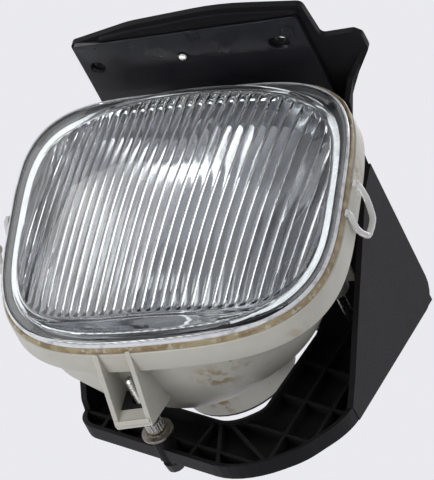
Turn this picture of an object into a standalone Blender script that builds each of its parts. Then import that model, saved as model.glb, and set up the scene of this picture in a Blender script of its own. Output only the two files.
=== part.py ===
"""Fog light on its bracket: a fluted glass lamp that tilts in a moulded bracket.

Frame: origin on top of the bracket's flange, +Z up, the lamp shines along -Y.
All driving sizes are in millimetres, and heights are counted from the lamp's centre,
which lies FLANGE_TOP below the origin: the empty "lamp_level" holds that offset.
"""
import bmesh
import bpy
from math import cos, pi, radians, sin
from mathutils import Euler, Vector

MM = 0.001
GAP = 0.35                      # clearance between touching pieces

# Lamp
FLANGE_TOP = 121.0              # flange's top face above the lamp's centre
LENS_CENTRE_X = -3.3
LENS_CENTRE_Z = 0.6
LENS_HALF_WIDTH = 100.0
LENS_HALF_HEIGHT = 97.5
LENS_ROUNDNESS = 3.6            # superellipse exponent
RIM_SHEAR = -0.098              # top of the rim leans to the left
RIM_BOW = 10.2                  # corners sit higher than the middle
RIM_YAW = 0.04
RIM_WRAP_X = 4.0                # rim falls back at the sides
RIM_WRAP_Z = 2.0                # and at top and bottom
LENS_RADIUS_X = 190.0
LENS_RADIUS_Z = 530.0
LENS_BULGE = 19.0               # glass front ahead of the rim, at its centre
GLASS = 3.0
WALL = 2.5
BAND_DEPTH = 17.0
BOWL_AXIS_Z = -14.0
NECK_RADIUS = 34.0
NECK_END = 112.0

# Tilt axis and aim screw
PIVOT_OFFSET_X = 71.0
PIVOT_Y = 71.0
PIVOT_Z = 3.0
AIM_X = -17.0
AIM_Z = -97.5
AIM_ROD_RADIUS = 3.0

# Arm below the housing
ARM_WALL_X = (-28.0, -8.4)
ARM_WALL = 2.2

# Bracket
BRACKET_WALL = 3.0
BRACKET_RIGHT = 92.0
BRACKET_LEFT = -85.0
TRAY_DEPTH = 10.0               # the tray's skirt, front to back
PLATE_Y = 118.5                 # front face of the tray's floor at lamp height
PLATE_SLOPE = 0.33              # floor leans back with height
PLATE_TOP_Z = 50.0
RIB_HEIGHT = 6.6
RIB = 2.2
HOLE_CORNERS = ((-47.0, 34.0, 26.0), (-47.0, -44.0, 20.0), (20.0, -86.0, 15.0), (36.0, -74.0, 11.0), (41.0, 34.0, 26.0))
COLLAR_HEIGHT = 9.0
COLLAR = 2.4
FLANGE_THICK = 4.0

# Steel plate
STEEL_THICK = 3.0
STEEL_X = (-76.5, 61.3)
STEEL_Y = (-32.0, 42.0)
BOLT_Y = -14.0
ROUND_HOLE_X = -67.5
SLOT_X = 44.7
BOLT_RADIUS = 4.5               # holes in the steel plate
FLANGE_HOLE_RADIUS = 3.4        # and in the plastic flange above it
SLOT_LENGTH = 13.0
SCREW_X = -14.8

# Electrical inlet and vent on top of the bowl
INLET_X = LENS_CENTRE_X
INLET_Y = 80.0
VENT = (30.7, 78.0, 52.0)

RING_STEPS = 36                 # points around the housing and the lens

Y_AXIS = Euler((-pi / 2, 0, 0))
Z_AXIS = Euler((0, 0, 0))


# ---------------------------------------------------------------- set-up
for old in list(bpy.data.objects):
    bpy.data.objects.remove(old, do_unlink=True)

scene_root = bpy.context.scene.collection
parts = bpy.data.collections.new("fog_light")
scene_root.children.link(parts)
construction = bpy.data.collections.new("construction")
scene_root.children.link(construction)

lamp_level = bpy.data.objects.new("lamp_level", None)
lamp_level.location = (0, 0, -FLANGE_TOP * MM)
parts.objects.link(lamp_level)


def material(name, colour, roughness, metallic=0.0, alpha=1.0):
    """A Principled material with the part's plain colour and gloss."""
    mat = bpy.data.materials.new(name)
    mat.use_nodes = True
    shader = mat.node_tree.nodes["Principled BSDF"]
    shader.inputs["Base Color"].default_value = (*colour, 1.0)
    shader.inputs["Roughness"].default_value = roughness
    shader.inputs["Metallic"].default_value = metallic
    shader.inputs["Alpha"].default_value = alpha
    mat.diffuse_color = (*colour, alpha)
    return mat


BRACKET_PLASTIC = material("bracket_plastic", (0.018, 0.018, 0.020), 0.55)
BLACK_STEEL = material("black_steel", (0.014, 0.014, 0.018), 0.35, 0.3)
HOUSING_PLASTIC = material("housing_plastic", (0.50, 0.48, 0.42), 0.5)
CLEAR_GLASS = material("clear_glass", (0.9, 0.93, 0.95), 0.03, 0.0, 0.35)
MIRROR = material("mirror_coat", (0.85, 0.86, 0.88), 0.06, 1.0)
GREY_RUBBER = material("grey_rubber", (0.09, 0.09, 0.11), 0.5)
SEALANT = material("sealant", (0.32, 0.22, 0.07), 0.6)
ZINC = material("zinc", (0.6, 0.6, 0.58), 0.3, 1.0)
NYLON_BLACK = material("nylon_black", (0.02, 0.02, 0.02), 0.45)
NYLON_GREY = material("nylon_grey", (0.45, 0.44, 0.40), 0.45)
CLIP_WHITE = material("clip_white", (0.75, 0.75, 0.72), 0.35)
BRASS = material("brass", (0.65, 0.5, 0.25), 0.3, 1.0)


# ---------------------------------------------------------------- helpers
def add_object(name, mesh, mat=None, location=(0, 0, 0), rotation=Z_AXIS):
    """Put a mesh in the model as a part, or as a construction shape if it has no material."""
    obj = bpy.data.objects.new(name, mesh)
    obj.location = Vector(location) * MM
    obj.rotation_euler = rotation
    obj.parent = lamp_level
    if mat is None:
        construction.objects.link(obj)
        obj.hide_render = True
        obj.display_type = "WIRE"
    else:
        parts.objects.link(obj)
        mesh.materials.append(mat)
    return obj


def finish_mesh(bm, name):
    """Turn a bmesh in millimetres into a mesh in metres with outward faces."""
    bmesh.ops.recalc_face_normals(bm, faces=bm.faces)
    bmesh.ops.triangulate(bm, faces=[face for face in bm.faces if len(face.verts) == 4])
    bmesh.ops.scale(bm, vec=(MM, MM, MM), verts=bm.verts)
    mesh = bpy.data.meshes.new(name)
    bm.to_mesh(mesh)
    bm.free()
    mesh.shade_smooth()
    mesh.set_sharp_from_angle(angle=radians(32))
    return mesh


def box(name, low, high, mat=None):
    """A box between two corners."""
    bm = bmesh.new()
    bmesh.ops.create_cube(bm, size=1.0)
    size = [h - l for l, h in zip(low, high)]
    bmesh.ops.scale(bm, vec=size, verts=bm.verts)
    middle = [(h + l) / 2 for l, h in zip(low, high)]
    return add_object(name, finish_mesh(bm, name), mat, middle)


def rod(name, radius, start, length, axis=Y_AXIS, mat=None, sides=16, end_radius=None):
    """A cylinder or cone that runs a length from its start point along an axis."""
    bm = bmesh.new()
    tip = radius if end_radius is None else end_radius
    bmesh.ops.create_cone(bm, cap_ends=True, segments=sides, radius1=radius, radius2=tip, depth=length)
    bmesh.ops.translate(bm, vec=(0, 0, length / 2), verts=bm.verts)
    return add_object(name, finish_mesh(bm, name), mat, start, axis)


def turned(name, profile, location, axis=Y_AXIS, mat=None, steps=20):
    """A turned solid: profile is a closed list of (radius, height), downwards on its outer side."""
    mesh = bpy.data.meshes.new(name)
    points = [(r * MM, 0, h * MM) for r, h in profile]
    closed = all(r > 0 for r, h in profile)
    edges = [(i, i + 1) for i in range(len(points) - 1)]
    if closed:
        edges.append((len(points) - 1, 0))
    mesh.from_pydata(points, edges, [])
    obj = add_object(name, mesh, mat, location, axis)
    screw = obj.modifiers.new("turn", "SCREW")
    screw.axis = "Z"
    screw.steps = steps
    screw.render_steps = steps
    screw.use_merge_vertices = True
    screw.merge_threshold = 0.00001
    screw.use_smooth_shade = True
    return obj


def loft(name, rings, mat=None, loop=False):
    """A skin through rings of equal point counts, with end caps, or closed from last to first."""
    bm = bmesh.new()
    rows = [[bm.verts.new(p) for p in ring] for ring in rings]
    count = len(rows[0])
    pairs = list(zip(rows, rows[1:]))
    if loop:
        pairs.append((rows[-1], rows[0]))
    for lower, upper in pairs:
        for i in range(count):
            j = (i + 1) % count
            bm.faces.new((lower[i], lower[j], upper[j], upper[i]))
    if not loop:
        bm.faces.new(rows[0])
        bm.faces.new(rows[-1])
    return add_object(name, finish_mesh(bm, name), mat)


def rounded(corners, steps=3):
    """An outline from corners (u, v, radius), each rounded with an arc."""
    outline = []
    count = len(corners)
    for i, (u, v, radius) in enumerate(corners):
        corner = Vector((u, v))
        back = Vector(corners[i - 1][:2]) - corner
        ahead = Vector(corners[(i + 1) % count][:2]) - corner
        if radius == 0:
            outline.append(tuple(corner))
            continue
        half = back.angle(ahead) / 2
        reach = radius / max(sin(half), 1e-6) * cos(half)
        middle = corner + (back.normalized() + ahead.normalized()).normalized() * radius / sin(half)
        first = corner + back.normalized() * reach - middle
        last = corner + ahead.normalized() * reach - middle
        turn = first.angle_signed(last)
        for k in range(steps + 1):
            spoke = first.copy()
            angle = -turn * k / steps
            spoke = Vector((first.x * cos(angle) - first.y * sin(angle),
                            first.x * sin(angle) + first.y * cos(angle)))
            outline.append(tuple(middle + spoke))
    return outline


def between(name, outline, front, back, mat=None):
    """A solid with an (x, z) outline between two surfaces y = front(z) and y = back(z)."""
    rings = [[(x, surface(z), z) for x, z in outline] for surface in (front, back)]
    return loft(name, rings, mat)


def upright(name, outline, x_low, x_high, mat=None):
    """A solid with a (y, z) outline between two x values."""
    return loft(name, [[(x, y, z) for y, z in outline] for x in (x_low, x_high)], mat)


def level(name, outline, z_low, z_high, mat=None):
    """A solid with an (x, y) outline between two heights."""
    return loft(name, [[(x, y, z) for x, y in outline] for z in (z_low, z_high)], mat)


def ribbon(name, edge_a, edge_b, thickness, mat=None):
    """A curved plate between two edges of equal point counts."""
    a = [Vector(p) for p in edge_a]
    b = [Vector(p) for p in edge_b]
    rings = []
    last = len(a) - 1
    for i in range(len(a)):
        along = a[min(i + 1, last)] - a[max(i - 1, 0)] + b[min(i + 1, last)] - b[max(i - 1, 0)]
        lift = along.cross(b[i] - a[i]).normalized() * thickness / 2
        rings.append([a[i] - lift, b[i] - lift, b[i] + lift, a[i] + lift])
    return loft(name, rings, mat)


def combine(obj, others, operation="UNION"):
    """Join other shapes to an object, or cut them from it, in one Boolean."""
    group = bpy.data.collections.new(f"{obj.name}_{operation.lower()}_{len(obj.modifiers)}")
    construction.children.link(group)
    for other in others:
        construction.objects.unlink(other)
        group.objects.link(other)
    change = obj.modifiers.new(operation.lower(), "BOOLEAN")
    change.operation = operation
    change.operand_type = "COLLECTION"
    change.collection = group
    change.solver = "MANIFOLD"    # EXACT leaves open edges where the lofts meet the walls
    return obj


def wire(name, points, radius, mat, cyclic=False):
    """A bent wire as a capped tube along a poly line, made into a mesh."""
    curve = bpy.data.curves.new(name, "CURVE")
    curve.dimensions = "3D"
    curve.bevel_depth = radius * MM
    curve.bevel_resolution = 2
    curve.use_fill_caps = True
    spline = curve.splines.new("POLY")
    spline.points.add(len(points) - 1)
    for point, place in zip(spline.points, points):
        point.co = (*(Vector(place) * MM), 1)
    spline.use_cyclic_u = cyclic
    obj = bpy.data.objects.new(name, curve)
    obj.parent = lamp_level
    parts.objects.link(obj)
    curve.materials.append(mat)
    return obj


# ---------------------------------------------------------------- lamp outlines
def rim_y(x, z):
    """Depth of the rim: it turns a little to the right and falls back at its edges."""
    return RIM_YAW * x + RIM_WRAP_X * (x / 100) ** 2 + RIM_WRAP_Z * (z / 100) ** 2


def lamp_point(angle, half_width, half_height, power, lean=1.0):
    """A point of a rounded-square outline, leaning and bowed like the rim by the share lean."""
    c, s = cos(angle), sin(angle)
    u = half_width * abs(c) ** (2 / power) * (1 if c >= 0 else -1)
    v = half_height * abs(s) ** (2 / power) * (1 if s >= 0 else -1)
    x = u + RIM_SHEAR * lean * v
    z = v + RIM_BOW * lean * (u / 100) ** 2
    return x, z


def ring_angles():
    return [2 * pi * (i + 0.5) / RING_STEPS for i in range(RING_STEPS)]


def rim_ring(inset, depth):
    """A ring of the rim, a distance inside the lens outline and behind the rim surface."""
    points = []
    for angle in ring_angles():
        x, z = lamp_point(angle, LENS_HALF_WIDTH - inset, LENS_HALF_HEIGHT - inset, LENS_ROUNDNESS)
        points.append((x + LENS_CENTRE_X, rim_y(x, z) + depth, z + LENS_CENTRE_Z))
    return points


def bowl_ring(half_width, half_height, power, y, lean=0.0, axis_z=BOWL_AXIS_Z):
    """A flat ring of the bowl."""
    points = []
    for angle in ring_angles():
        x, z = lamp_point(angle, half_width, half_height, power, lean)
        points.append((x + LENS_CENTRE_X, y, z + axis_z))
    return points


def glass_y(x, z):
    """Front surface of the glass."""
    return -LENS_BULGE + x * x / (2 * LENS_RADIUS_X) + z * z / (2 * LENS_RADIUS_Z) + RIM_YAW * x


def glass_ring(share, thickness, inset):
    """A ring of the domed glass at a share of its outline, at a depth below its front surface."""
    points = []
    for angle in ring_angles():
        x, z = lamp_point(angle, LENS_HALF_WIDTH - inset, LENS_HALF_HEIGHT - inset, LENS_ROUNDNESS)
        x, z = x * share, z * share
        y = min(glass_y(x, z) + thickness, rim_y(x, z) - 1.0)
        points.append((x + LENS_CENTRE_X, y, z + LENS_CENTRE_Z))
    return points


# ---------------------------------------------------------------- lens and rim
FLANGE_INSET = 8.0              # the dome starts this far inside the glass flange


def make_lens():
    """Domed glass with a flat flange all round."""
    outer = [glass_ring(share, 0.0, FLANGE_INSET) for share in (0.12, 0.45, 0.75, 0.93, 1.0)]
    flange = [rim_ring(7.5, -2.6), rim_ring(0.6, -2.6), rim_ring(0.0, -2.0), rim_ring(0.0, 0.3)]
    inner_flange = [rim_ring(11.0, 0.3)]
    inner = [glass_ring(share, GLASS, 11.2) for share in (0.985, 0.93, 0.75, 0.45, 0.12)]
    rings = outer + flange + inner_flange + inner
    return loft("lens", rings, CLEAR_GLASS)


def make_rim_seals():
    gasket = [rim_ring(0.6, 0.3 + GAP), rim_ring(9.6, 0.3 + GAP), rim_ring(9.6, 2.6), rim_ring(0.6, 2.6)]
    loft("lens_gasket", gasket, GREY_RUBBER, loop=True)
    bead = [rim_ring(-0.4, -0.6), rim_ring(-2.4, 0.2), rim_ring(-2.6, 2.6), rim_ring(-0.4, 2.6)]
    loft("lens_sealant", bead, SEALANT, loop=True)


# ---------------------------------------------------------------- housing
BOWL = [                        # half width, half height, power, y, lean, axis height
    (88.0, 86.0, 3.0, 42.0, 0.5, -3.0),
    (75.0, 73.0, 2.5, 64.0, 0.2, -9.0),
    (58.5, 58.5, 2.0, 79.0, 0.0, BOWL_AXIS_Z),
    (50.5, 50.5, 2.0, 85.0, 0.0, BOWL_AXIS_Z),
    (42.0, 42.0, 2.0, 90.0, 0.0, BOWL_AXIS_Z),
    (NECK_RADIUS, NECK_RADIUS, 2.0, 95.5, 0.0, BOWL_AXIS_Z),
    (NECK_RADIUS, NECK_RADIUS, 2.0, NECK_END, 0.0, BOWL_AXIS_Z),
]


def make_housing():
    """Rim band, bowl and neck as one shell, with the arm and the pivot bosses joined on."""
    front = 2.6 + GAP
    outer = [rim_ring(-3.0, front), rim_ring(-3.0, BAND_DEPTH), rim_ring(4.5, BAND_DEPTH + 2.0)]
    outer += [bowl_ring(*row) for row in BOWL]
    inner = [bowl_ring(w - WALL, h - WALL, p, y - (WALL if y < NECK_END else 0), lean, axis)
             for w, h, p, y, lean, axis in reversed(BOWL)]
    inner += [rim_ring(7.2, BAND_DEPTH - 0.5), rim_ring(-0.5, BAND_DEPTH - 2.5), rim_ring(-0.5, front + WALL)]
    ledge = [rim_ring(10.0, front + WALL), rim_ring(10.0, front)]
    shell = loft("lamp_housing", outer + inner + ledge, HOUSING_PLASTIC, loop=True)

    side = rounded([(1.0, -99.0, 0), (47.0, -115.0, 2), (59.0, -79.0, 0), (64.0, -66.0, 0), (36.0, -84.0, 0),
                    (22.0, -91.5, 0), (18.0, -98.0, 0)])
    walls = [upright(f"arm_wall_{i}", side, x - ARM_WALL / 2, x + ARM_WALL / 2) for i, x in enumerate(ARM_WALL_X)]
    cross = upright("arm_cross", [(44.0, -114.0), (47.2, -114.9), (50.0, -105.5), (41.0, -105.5)],
                    ARM_WALL_X[0], ARM_WALL_X[1])
    combine(shell, walls + [cross])
    skin = WALL + 0.5
    cavity = [bowl_ring(w - skin, h - skin, p, y - skin, lean, axis) for w, h, p, y, lean, axis in BOWL[:3]]
    inner_space = loft("bowl_space", [rim_ring(8.2, BAND_DEPTH + 2)] + cavity)
    combine(shell, [inner_space], "DIFFERENCE")

    bosses = [rod("vent_pipe", 3.0, (VENT[0], VENT[1], VENT[2] - 16.0), 15.6, Z_AXIS, sides=12)]
    bores = [box("inlet_bore", (INLET_X - 8.2, INLET_Y - 6.7, 25.0), (INLET_X + 8.2, INLET_Y + 2.7, 62.0)),
             rod("vent_bore", 1.6, (VENT[0], VENT[1], VENT[2] - 20.0), 30.0, Z_AXIS, sides=12)]
    for side_name, sign in (("left", -1), ("right", 1)):
        x = LENS_CENTRE_X + sign * PIVOT_OFFSET_X
        bosses.append(rod(f"boss_{side_name}", 7.6, (x, PIVOT_Y - 10.0, PIVOT_Z), 15.0, sides=20))
        bores.append(rod(f"boss_bore_{side_name}", 5.9, (x, PIVOT_Y - 7.0, PIVOT_Z), 20.0, sides=20))
    combine(shell, bosses)
    combine(shell, bores, "DIFFERENCE")
    return shell


def make_reflector():
    """Bright bowl inside the housing, open at the bulb."""
    rows = [(70.0, 68.0, 2.8, 44.0, 0.4, -3.0), (50.0, 50.0, 2.2, 64.0, 0.1, -10.0),
            (33.0, 33.0, 2.0, 77.0, 0.0, BOWL_AXIS_Z), (13.0, 13.0, 2.0, 84.0, 0.0, BOWL_AXIS_Z)]
    skin = 1.5
    inner = [rim_ring(12.5, 1.0), rim_ring(16.0, 18.0)] + [bowl_ring(*row) for row in rows]
    outer = [bowl_ring(w + (skin if w > 20 else 0), h + (skin if w > 20 else 0), p, y + skin, lean, axis)
             for w, h, p, y, lean, axis in reversed(rows)]
    outer += [rim_ring(14.5, 18.0), rim_ring(10.6, 1.0)]
    return loft("reflector", inner + outer, MIRROR, loop=True)


# ---------------------------------------------------------------- bulb
def make_bulb():
    axis = (LENS_CENTRE_X, 0.0, BOWL_AXIS_Z)
    turned("bulb_glass", [(0, 86.5), (5.5, 86.5), (5.5, 56.0), (3.5, 52.0), (0, 51.0)], axis, mat=CLEAR_GLASS, steps=20)
    turned("bulb_base", [(0, 92.0), (10.0, 92.0), (10.0, 88.5), (18.0, 88.5), (18.0, 87.0), (0, 87.0)],
           axis, mat=ZINC, steps=28)
    box("bulb_terminal", (axis[0] - 3, 92.0 + GAP, axis[2] - 0.5), (axis[0] + 3, 101.0, axis[2] + 0.5), BRASS)
    shield = turned("bulb_shield", [(0, 41.5), (8.0, 42.0), (10.0, 47.0), (10.0, 52.0), (11.0, 52.0), (11.0, 46.0),
                                    (8.6, 40.8), (0, 40.2)], axis, mat=MIRROR, steps=24)
    leg = box("shield_leg", (axis[0] - 1.5, 47.0, axis[2] - 40.0), (axis[0] + 1.5, 48.2, axis[2] - 10.4))
    combine(shield, [leg])
    z = axis[2]
    wire("bulb_clip", [(axis[0] - 15, 90.0, z - 21), (axis[0] - 13, 90.0, z + 4), (axis[0] - 11.5, 90.0, z + 17),
                       (axis[0] + 11.5, 90.0, z + 17), (axis[0] + 13, 90.0, z + 4), (axis[0] + 15, 90.0, z - 21)],
         0.7, ZINC)


# ---------------------------------------------------------------- rear cover
def make_cover():
    """Plug with a grip: its spigot and seal sit inside the neck, its rim lies on the neck's end."""
    axis = (LENS_CENTRE_X, 0.0, BOWL_AXIS_Z)
    rim = NECK_END + GAP
    cap = turned("rear_cover", [(0, rim + 2.6), (32.0, rim + 2.6), (33.5, rim + 1.4), (33.5, rim), (29.4, rim),
                                (29.4, rim - 9.0), (27.2, rim - 9.0), (27.2, rim), (0, rim)],
                 axis, mat=NYLON_BLACK, steps=40)
    grip = box("cover_grip", (axis[0] - 21, rim + 2.0, axis[2] - 3.5), (axis[0] + 21, rim + 9.0, axis[2] + 3.5))
    combine(cap, [grip])
    turned("cover_seal", [(31.1, rim - 2.0), (31.1, rim - 6.0), (29.8, rim - 6.0), (29.8, rim - 2.0)],
           axis, mat=GREY_RUBBER, steps=40)


# ---------------------------------------------------------------- electrical inlet and vent
def make_inlet():
    x, y = INLET_X, INLET_Y
    shroud = box("power_inlet", (x - 11, y - 8, 60.0), (x + 11, y + 8, 76.0), NYLON_BLACK)
    stem = box("inlet_stem", (x - 7.5, y - 6, 41.0), (x + 7.5, y + 2, 61.0))
    well = box("inlet_well", (x - 9, y - 6, 63.5), (x + 9, y + 6, 80.0))
    combine(shroud, [stem])
    slots = [box(f"pin_slot_{i}", (x + dx - 2.4, y - 3.1, 30.0), (x + dx + 2.4, y - 0.9, 70.0))
             for i, dx in enumerate((-4, 4))]
    combine(shroud, [well] + slots, "DIFFERENCE")
    for name, dx in (("terminal_feed", -4), ("terminal_earth", 4)):
        box(name, (x + dx - 2.0, y - 2.4, 43.0), (x + dx + 2.0, y - 1.6, 72.0), BRASS)
    turned("vent_cap", [(0, 8.0), (5.5, 8.0), (6.5, 6.5), (6.5, 0.0), (0, 0.0)], VENT, axis=Z_AXIS,
           mat=NYLON_BLACK, steps=16)


# ---------------------------------------------------------------- pivots and aim screw
def make_pivots():
    plate = PLATE_Y + PLATE_SLOPE * PIVOT_Z
    for side_name, sign in (("left", -1), ("right", 1)):
        x = LENS_CENTRE_X + sign * PIVOT_OFFSET_X
        ball = []
        for k in range(7):
            angle = -pi / 2 + k * (pi / 2 + 0.95) / 6
            ball.append((4.5 * cos(angle), 4.5 * sin(angle)))
        neck = plate - PIVOT_Y - 8.0
        profile = [(max(r, 0.0), h) for r, h in ball] + [(2.6, 7.0), (2.6, neck), (4.9, neck), (4.9, neck + 3.0),
                                                       (3.0, neck + 3.4), (3.0, neck + 18.5), (0, neck + 18.5)]
        turned(f"pivot_stud_{side_name}", profile[::-1], (x, PIVOT_Y, PIVOT_Z), mat=ZINC, steps=14)
        cup = [(0, -4.9)] + [(4.9 * cos(a), 4.9 * sin(a)) for a in (-1.1, -0.65, -0.2, 0.3)]
        cup += [(4.2, 4.6), (5.55, 4.6), (5.55, -6.6), (0, -6.6)]
        turned(f"pivot_socket_{side_name}", cup, (x, PIVOT_Y, PIVOT_Z), mat=NYLON_GREY, steps=18)
        nut = rod(f"pivot_nut_{side_name}", 5.6, (x, plate + 5.0, PIVOT_Z), 5.0, mat=ZINC, sides=6)
        hole = rod(f"pivot_nut_hole_{side_name}", 3.35, (x, plate, PIVOT_Z), 20.0)
        combine(nut, [hole], "DIFFERENCE")


def make_aim_screw():
    rear = PLATE_Y + BRACKET_WALL + PLATE_SLOPE * (AIM_Z + 6.0) + 0.6
    at = (AIM_X, 0.0, AIM_Z)
    r = AIM_ROD_RADIUS
    profile = [(0, rear + 3.0), (r - 0.3, rear + 3.0), (r - 0.3, 66.8), (5.0, 66.8), (5.4, 65.8), (5.4, 61.0), (4.4, 59.5),
               (r, 59.5), (r, 25.5), (r - 1, 24.5), (0, 24.5)]
    turned("aim_screw", profile, at, mat=ZINC, steps=24)
    knob = rod("aim_knob", 6.0, (AIM_X, rear, AIM_Z), 5.5, mat=NYLON_BLACK, sides=12, end_radius=5.4)
    bore = rod("knob_bore", r, (AIM_X, rear - 1, AIM_Z), 4.5)
    combine(knob, [bore], "DIFFERENCE")
    turned("aim_washer", [(9.35, 69.6), (9.35, 68.1), (6.5, 67.3), (3.2, 67.3), (3.2, 68.5), (6.4, 68.8), (9.0, 69.6)],
           at, mat=ZINC, steps=24)
    nut = box("aim_nut", (ARM_WALL_X[0] + ARM_WALL / 2 + GAP, 42.0, -105.5 + GAP),
              (ARM_WALL_X[1] - ARM_WALL / 2 - GAP, 54.0, -90.5), NYLON_BLACK)
    combine(nut, [rod("nut_bore", r + 1.4, (AIM_X, 40.0, AIM_Z), 30.0)], "DIFFERENCE")


# ---------------------------------------------------------------- lens clips
def make_clips():
    for side_name, sign in (("left", -1), ("right", 1)):
        x = LENS_CENTRE_X + sign * (LENS_HALF_WIDTH + 6.8)
        y = 8.5 + 3.5 * sign
        loop = [(x, y, 17.0), (x + sign * 1.2, y + 6.0, 18.0), (x + sign * 3.4, y + 16.0, 14.0),
                (x + sign * 3.6, y + 18.0, 5.0), (x + sign * 3.4, y + 17.0, -7.0), (x + sign * 1.2, y + 8.0, -9.5),
                (x, y, -6.0)]
        wire(f"lens_clip_{side_name}", loop, 1.4, CLIP_WHITE)


# ---------------------------------------------------------------- bracket
TRAY_OUTLINE = [(BRACKET_LEFT, PLATE_TOP_Z, 0), (BRACKET_LEFT, -60.0, 24), (42.0, -141.0, 40),
                (74.0, -123.0, 30), (BRACKET_RIGHT, -95.0, 50), (BRACKET_RIGHT, PLATE_TOP_Z, 0)]


def plate_front(z):
    return PLATE_Y + PLATE_SLOPE * z


def plate_back(z):
    return plate_front(z) + BRACKET_WALL


def tray_front(z):
    return plate_back(z) - TRAY_DEPTH


def tray_inside():
    """The tray's inner outline: every straight side moved in by the wall, and open at the top."""
    corners = []
    count = len(TRAY_OUTLINE)
    for i, (x, z, radius) in enumerate(TRAY_OUTLINE):
        corner = Vector((x, z))
        before = (corner - Vector(TRAY_OUTLINE[i - 1][:2])).normalized()
        after = (Vector(TRAY_OUTLINE[(i + 1) % count][:2]) - corner).normalized()
        inward = (Vector((-before.y, before.x)) + Vector((-after.y, after.x))).normalized()
        reach = BRACKET_WALL / inward.dot(Vector((-after.y, after.x)))
        moved = corner + inward * reach
        if z == PLATE_TOP_Z:
            moved.y = PLATE_TOP_Z + 30
        corners.append((moved.x, moved.y, max(radius - BRACKET_WALL, 0)))
    return corners


def span_inside(outline, point, direction):
    """The stretch of a line that lies inside an outline, as its two end points."""
    hits = []
    for (x1, z1), (x2, z2) in zip(outline, outline[1:] + outline[:1]):
        ex, ez = x2 - x1, z2 - z1
        cross = direction[0] * ez - direction[1] * ex
        if abs(cross) < 1e-9:
            continue
        along = ((x1 - point[0]) * ez - (z1 - point[1]) * ex) / cross
        share = ((x1 - point[0]) * direction[1] - (z1 - point[1]) * direction[0]) / cross
        if 0 <= share < 1:
            hits.append(along)
    return min(hits), max(hits)


def rib(name, outline, point, direction, height=RIB_HEIGHT):
    """A rib that stands on the tray's floor and ends in the tray's walls."""
    low, high = span_inside(outline, point, direction)
    length = (direction[0] ** 2 + direction[1] ** 2) ** 0.5
    side = (-direction[1] / length * RIB / 2, direction[0] / length * RIB / 2)
    rings = []
    for along in (low - 1.0 / length, high + 1.0 / length):
        x, z = point[0] + direction[0] * along, point[1] + direction[1] * along
        corners = [(x - side[0], z - side[1]), (x + side[0], z + side[1])]
        (xa, za), (xb, zb) = corners
        rings.append([(xa, plate_front(za) - height, za), (xb, plate_front(zb) - height, zb),
                      (xb, plate_front(zb) + 1.0, zb), (xa, plate_front(za) + 1.0, za)])
    return loft(name, rings)


def hole_outline(grow):
    """Outline of the opening for the lamp's back, moved out by a distance."""
    middle = Vector((-2.0, -30.0))
    corners = []
    for x, z, radius in HOLE_CORNERS:
        away = Vector((x, z)) - middle
        away = Vector((away.x + (grow if away.x > 0 else -grow), away.y + (grow if away.y > 0 else -grow)))
        corners.append((middle.x + away.x, middle.y + away.y, radius + grow))
    return rounded(corners, 5)


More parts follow.
